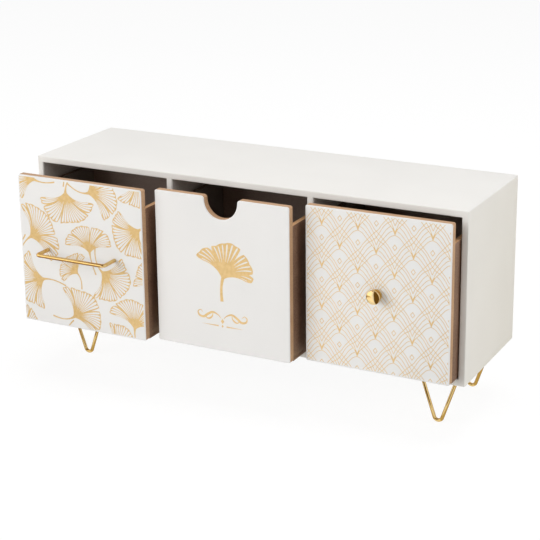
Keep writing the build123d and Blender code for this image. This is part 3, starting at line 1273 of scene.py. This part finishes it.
def laid(shape, leaf):
    """A shape of the upright leaf, turned by its tilt and moved to its place."""
    c, s = cos(leaf["tilt"]), sin(leaf["tilt"])
    return [leaf["place"] + Vector((v.x * c + v.y * s, v.y * c - v.x * s)) for v in shape]


def drawn_leaf(leaf, chance):
    ink = [laid(leaf_outline(leaf), leaf), laid(ribbon(*leaf_stalk(leaf)), leaf)]
    bare = [laid(slit, leaf) for slit in leaf_slits(leaf, chance)]
    return ink, bare


print("neck of a 30 mm leaf:", round(NECK_FIT * leaf_spot(1, 3, 30).x, 1), "mm")

# %% [markdown]
# One large leaf stands on the middle front, mostly solid, with narrow slits. Below it a
# mirrored scroll over a thin rule makes a plain printer's ornament.

# %% One leaf and an ornament on the middle front
big_leaf = {
    "place": Vector((0.4, -3.6)), "tilt": radians(18), "size": 30.0, "phase": 0.9,
    "slits": 19, "open": 0.36, "solid": 2.6, "band": 1.0,
    "clefts": [(11, 0.34), (4, 0.14), (16, 0.12)],
    "stalk": 17.5, "bend": radians(-24), "thin": 2.1, "foot": 2.8,
}
big_ink, big_bare = drawn_leaf(big_leaf, random.Random(3))

ORNAMENT_LEVEL = -34.0
SCROLL = (
    (1.2, -1.2), (4.2, 1.6), (8.6, 3.0), (13.0, 0.8), (16.6, -1.9),
    (20.6, -1.3), (21.8, 1.6), (19.6, 3.4), (17.6, 1.9),
)
TWIG = ((8.4, 2.4), (9.2, -0.6), (11.6, -2.6), (14.0, -2.6), (14.6, -1.0))
RULE_LEVEL = -7.6
RULE_START = 3.5
RULE_END = 19.0
RULE_HALF = 0.55

ornament = [lozenge(1.5, 2.3, -3.6), lozenge(0.9, 1.3, RULE_LEVEL)]
for points, swell in ((SCROLL, 1.5), (TWIG, 0.9)):
    line = curve_through(points, 8)
    last = len(line) - 1
    widths = [0.5 + swell * sin(pi * (index / last) ** 0.8) ** 2 for index in range(last + 1)]
    ornament += [ribbon(line, widths), ribbon(mirrored(line), widths)]
rule = [
    Vector((RULE_END, RULE_LEVEL)),
    Vector((RULE_START, RULE_LEVEL + RULE_HALF)),
    Vector((RULE_START, RULE_LEVEL - RULE_HALF)),
]
ornament += [rule, mirrored(rule)]
ornament = [moved(shape, Vector((0, ORNAMENT_LEVEL))) for shape in ornament]

middle_print = ink_film("middle", big_ink + ornament, big_bare)
print("leaf on the middle front:", len(middle_print.data.polygons), "faces")

# %% [markdown]
# The left front is strewn with fine-lined leaves, turned all ways, and its edges cut
# through the outer ones. They are strewn as a printer fills a sheet: the largest first,
# each tried in many seeded places and kept where it lies closest to its neighbours
# without touching. A few circles stand for the room that a leaf needs.

# %% Room for a leaf
LEAF_GAP = 0.6
# Place and radius of the circles over a leaf, as shares of its size
MIDDLE_CIRCLES = ((0, 0.62, 0.40), (0, 0.2, 0.16))
SIDE_CIRCLES = ((0.52, 0.50, 0.30), (0.78, 0.28, 0.15), (0.34, 0.80, 0.16))
STALK_ROOM = 1.0
UNCROWDED = 99.0             # the gap while no leaf is laid yet


def leaf_room(leaf):
    size = leaf["size"]
    shares = list(MIDDLE_CIRCLES)
    for side in (-1, 1):
        shares += [(side * x, y, radius) for x, y, radius in SIDE_CIRCLES]
    circles = [(Vector((x, y)) * size, radius * size) for x, y, radius in shares]
    line, _ = leaf_stalk(leaf)
    circles += [(spot, STALK_ROOM) for spot in line[4::3]]
    spots = laid([spot for spot, radius in circles], leaf)
    return [(spot, radius) for spot, (_, radius) in zip(spots, circles)]


def least_gap(room, taken):
    """The gap between two sets of circles, or 0 as soon as one is found too narrow."""
    least = UNCROWDED
    for spot, radius in room:
        for other, other_radius in taken:
            least = min(least, (spot - other).length - radius - other_radius)
        if least < LEAF_GAP:
            return 0.0
    return least


print("circles for a leaf:", len(leaf_room(big_leaf)))

# %% Strewn leaves on the left front
STREW_SEED = 15
LEAVES = 40
TRIES = 700
LARGEST = 29.0
SMALLEST = 14.0
SHRINK = 0.4                 # from each leaf to the next
OUTSIDE_COST = 0.5           # what a millimetre outside the front costs a place
OVERHANG = 12.0              # how far outside the front a stalk may start
chance = random.Random(STREW_SEED)
_, low, high = fronts["left"]
half_width = (high.x - low.x) / (2 * MM)
half_height = (high.z - low.z) / (2 * MM)


def random_leaf(size):
    return {
        "place": Vector((
            chance.uniform(-half_width - OVERHANG, half_width + OVERHANG),
            chance.uniform(-half_height - OVERHANG, half_height + OVERHANG),
        )),
        "tilt": chance.uniform(0, 2 * pi),
        "size": size,
        "bend": chance.choice((-1, 1)) * chance.uniform(0.3, 1.1),
        "stalk": 0.72 * size,
        "phase": chance.uniform(0, 6),
        "slits": 26,
        "open": 0.76,
        "solid": 1.1,
        "band": 0.65,
        "clefts": [
            (chance.randint(9, 16), 0.30), (chance.randint(2, 6), 0.12),
            (chance.randint(19, 23), 0.14),
        ],
        "thin": 0.8,
        "foot": 1.3,
    }


strewn, taken = [], []
for number in range(LEAVES):
    size = max(SMALLEST, LARGEST - SHRINK * number)
    best = None
    for attempt in range(TRIES):
        leaf = random_leaf(size)
        room = leaf_room(leaf)
        gap = least_gap(room, taken)
        if gap == 0.0:
            continue
        heart = room[0][0]
        outside = max(abs(heart.x) - half_width, abs(heart.y) - half_height, 0)
        cost = gap + OUTSIDE_COST * outside
        if best is None or cost < best[0]:
            best = (cost, leaf, room)
    if best is not None:
        strewn.append(best[1])
        taken += best[2]
strewn_ink, strewn_bare = [], []
for leaf in strewn:
    ink, bare = drawn_leaf(leaf, chance)
    strewn_ink += ink
    strewn_bare += bare
left_print = ink_film("left", strewn_ink, strewn_bare)
print("leaves strewn:", len(strewn), "and", len(left_print.data.polygons), "faces")
